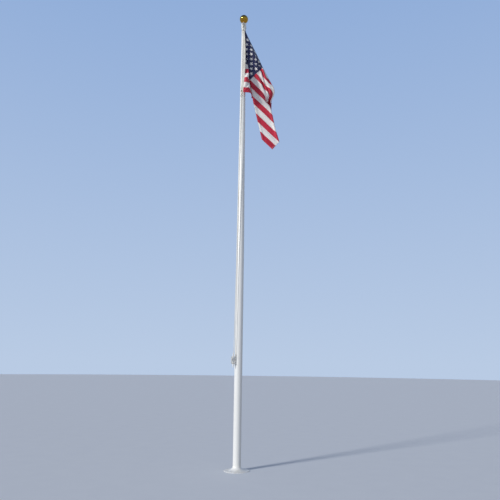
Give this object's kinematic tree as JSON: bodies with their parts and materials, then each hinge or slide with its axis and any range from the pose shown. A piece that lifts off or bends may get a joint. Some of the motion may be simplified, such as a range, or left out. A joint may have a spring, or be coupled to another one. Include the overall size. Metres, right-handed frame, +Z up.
{
  "type": "ground-set flagpole with flag",
  "caption": "White cone-tapered aluminium flagpole with a gold ball, a capped truck with a sheave, an outside halyard on a cleat, a flash collar and a hanging striped flag.",
  "frame": {"origin": "centre of the tube's foot, at ground level", "axes": "+Z up the pole, +X towards the fly of the flag, -Y towards the front where the sheave stands"},
  "size_m": [0.8442, 0.6197, 7.8345],
  "materials": {
    "white_enamel": "white baked enamel",
    "gold_anodised": "gold anodised, polished",
    "steel": "stainless",
    "sheave_nylon": "moulded nylon",
    "rope": "braided polyester",
    "brass": "rolled brass",
    "bronze_snap": "cast bronze",
    "flag_nylon": "woven nylon",
    "canvas": "cotton canvas"
  },
  "bodies": {
    "pole": {"pole_shaft": "white_enamel", "flash_collar": "white_enamel", "truck_body": "white_enamel", "truck_set_screws": "steel", "sheave_axle": "steel", "sheave_cotter": "steel", "ball_spindle": "steel", "ball_lower_half": "gold_anodised", "ball_upper_half": "gold_anodised", "cleat_body": "white_enamel", "cleat_screws": "steel", "cleat_turns": "rope", "halyard_bight": "rope", "halyard_flag_leg": "rope", "halyard_return_leg": "rope", "halyard_turnback": "rope", "upper_knot": "rope", "lower_knot": "rope", "upper_snap_hook": "bronze_snap", "lower_snap_hook": "bronze_snap", "upper_snap_gate": "bronze_snap", "lower_snap_gate": "bronze_snap", "upper_grommet": "brass", "lower_grommet": "brass", "flag_heading": "canvas", "flag_cloth": "flag_nylon"},
    "sheave": {"sheave": "sheave_nylon"}
  },
  "joints": [
    {"name": "sheave_spin", "type": "hinge", "parent": "pole", "child": "sheave", "pos_m": [-0.00741, -0.08468, 7.612], "axis": [-0.9962, 0.0872, 0], "continuous": true}
  ]
}
